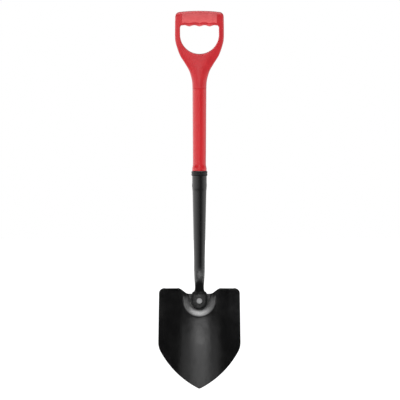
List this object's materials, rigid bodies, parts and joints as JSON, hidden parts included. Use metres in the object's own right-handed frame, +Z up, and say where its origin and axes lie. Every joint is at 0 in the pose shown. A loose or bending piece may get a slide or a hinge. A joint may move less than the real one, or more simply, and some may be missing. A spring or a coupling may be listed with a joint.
{
  "type": "round point shovel",
  "caption": "Long round point digging shovel: dished black steel blade with forward-turned treads, tapered steel socket, red sleeved shaft and D grip.",
  "frame": {"origin": "middle of the underside of the grip's bar, where a hook carries the shovel", "axes": "+Z up the shaft from the tip of the blade to the grip, -Y the way the hollow face of the blade looks, +X across the blade and grip, to the right of someone facing the hollow face"},
  "size_m": [0.2176, 0.1116, 1],
  "materials": {
    "blade_paint": "black baked paint, satin, worn thin at the edges",
    "socket_paint": "black baked paint, satin",
    "weld_paint": "black paint over a rippled weld bead",
    "rivet_paint": "rubbed black paint on a rivet head",
    "ring_plastic": "black moulded plastic",
    "red_sleeve": "red extruded plastic, satin gloss",
    "fibreglass": "pultruded glass fibre, straw coloured",
    "plug_plastic": "grey moulded plastic",
    "red_grip": "red moulded plastic, fine grain",
    "soft_red": "softer pinkish red moulded grip, fine grain",
    "pin_steel": "zinc plated steel"
  },
  "bodies": {
    "root": {"blade": "blade_paint", "socket": "socket_paint", "tongue_weld": "weld_paint", "blade_rivet": "rivet_paint", "mouth_ring": "ring_plastic", "socket_rivet": "rivet_paint", "shaft_sleeve": "red_sleeve", "shaft_core": "fibreglass", "lower_core_plug": "plug_plastic", "upper_core_plug": "plug_plastic", "d_grip": "red_grip", "finger_grip": "soft_red", "grip_pin": "pin_steel"}
  },
  "joints": []
}
